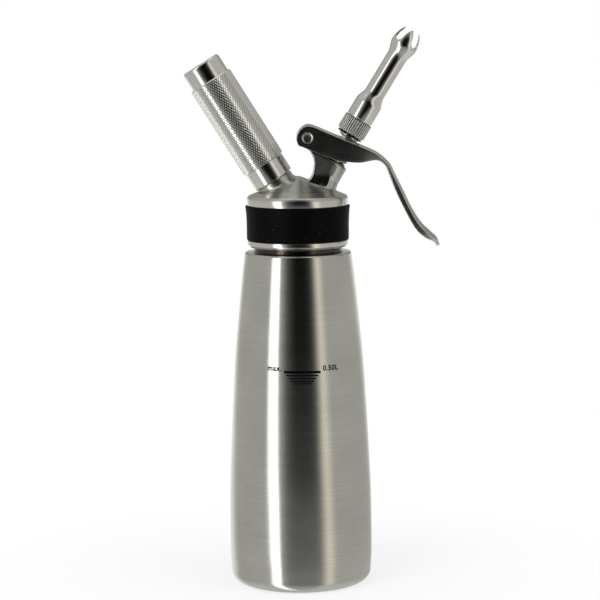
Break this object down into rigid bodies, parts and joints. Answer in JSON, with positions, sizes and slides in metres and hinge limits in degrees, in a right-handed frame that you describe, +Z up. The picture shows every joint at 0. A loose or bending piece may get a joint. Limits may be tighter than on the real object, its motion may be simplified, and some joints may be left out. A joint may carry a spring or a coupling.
{
  "type": "whipped cream dispenser",
  "caption": "Tapered steel bottle with a screw-on head, a knurled gas charger holder, and a lever that opens a sprung valve under a tulip nozzle.",
  "frame": {"origin": "centre of the bottle's flat base, on the surface that it stands on", "axes": "+Z up the bottle's axis, +X towards the lever's tip and the nozzle, +Y to the back of the pictured side"},
  "size_m": [0.1395, 0.079, 0.3064],
  "materials": {
    "brushed_steel": "brushed stainless steel, the brushing runs round the bottle",
    "satin_steel": "satin cast and turned stainless steel with polished bands",
    "polished_steel": "polished stainless steel",
    "spring_steel": "dark oiled spring wire",
    "black_rubber": "matte black silicone"
  },
  "bodies": {
    "bottle": {"bottle": "brushed_steel"},
    "gasket": {"head_gasket": "black_rubber"},
    "head": {"head": "satin_steel", "grip_ring": "black_rubber", "charging_valve_body": "polished_steel", "check_valve_sleeve": "black_rubber", "piercing_pin": "polished_steel", "charger_seal": "black_rubber", "stem_ring": "black_rubber", "stem_guide": "polished_steel", "valve_spring": "spring_steel", "lever_pin": "polished_steel", "pin_clip": "polished_steel"},
    "charger": {"gas_charger": "polished_steel"},
    "holder": {"charger_holder": "polished_steel"},
    "lever": {"lever": "polished_steel"},
    "valve": {"valve_stem": "polished_steel", "valve_seal": "black_rubber", "spring_cap": "polished_steel", "nozzle_adapter": "polished_steel"},
    "nozzle_washer": {"nozzle_seal": "black_rubber"},
    "nozzle": {"nozzle": "polished_steel", "nozzle_collar": "polished_steel"}
  },
  "joints": [
    {"name": "head_lift", "type": "slide", "parent": "bottle", "child": "gasket", "axis": [0, 0, 1], "range_m": [0, 0.09]},
    {"name": "head_turn", "type": "hinge", "parent": "gasket", "child": "head", "pos_m": [0, 0, 0.207], "axis": [0, 0, 1], "continuous": true},
    {"name": "lever_press", "type": "hinge", "parent": "head", "child": "lever", "pos_m": [0.0058, 0, 0.2469], "axis": [0, 1, 0], "range_deg": [0, 12], "stiffness_Nm_per_rad": 0.55, "springref_deg": -9.74},
    {"name": "valve_travel", "type": "slide", "parent": "head", "child": "valve", "axis": [-0.5255, 0, -0.8508], "range_m": [0, 0.0042], "deforming": ["valve_spring"]},
    {"name": "nozzle_lift", "type": "slide", "parent": "valve", "child": "nozzle_washer", "axis": [0.5255, 0, 0.8508], "range_m": [0, 0.03]},
    {"name": "nozzle_turn", "type": "hinge", "parent": "nozzle_washer", "child": "nozzle", "pos_m": [0, 0, 0.201], "axis": [0.5255, 0, 0.8508], "continuous": true},
    {"name": "holder_lift", "type": "slide", "parent": "head", "child": "charger", "axis": [-0.527, 0, 0.8499], "range_m": [0, 0.09]},
    {"name": "holder_turn", "type": "hinge", "parent": "charger", "child": "holder", "pos_m": [0, 0, 0.2027], "axis": [-0.527, 0, 0.8499], "continuous": true}
  ],
  "couplings": [
    {"joint": "valve_travel", "follows": "lever_press", "m_per_rad": 0.01918}
  ]
}
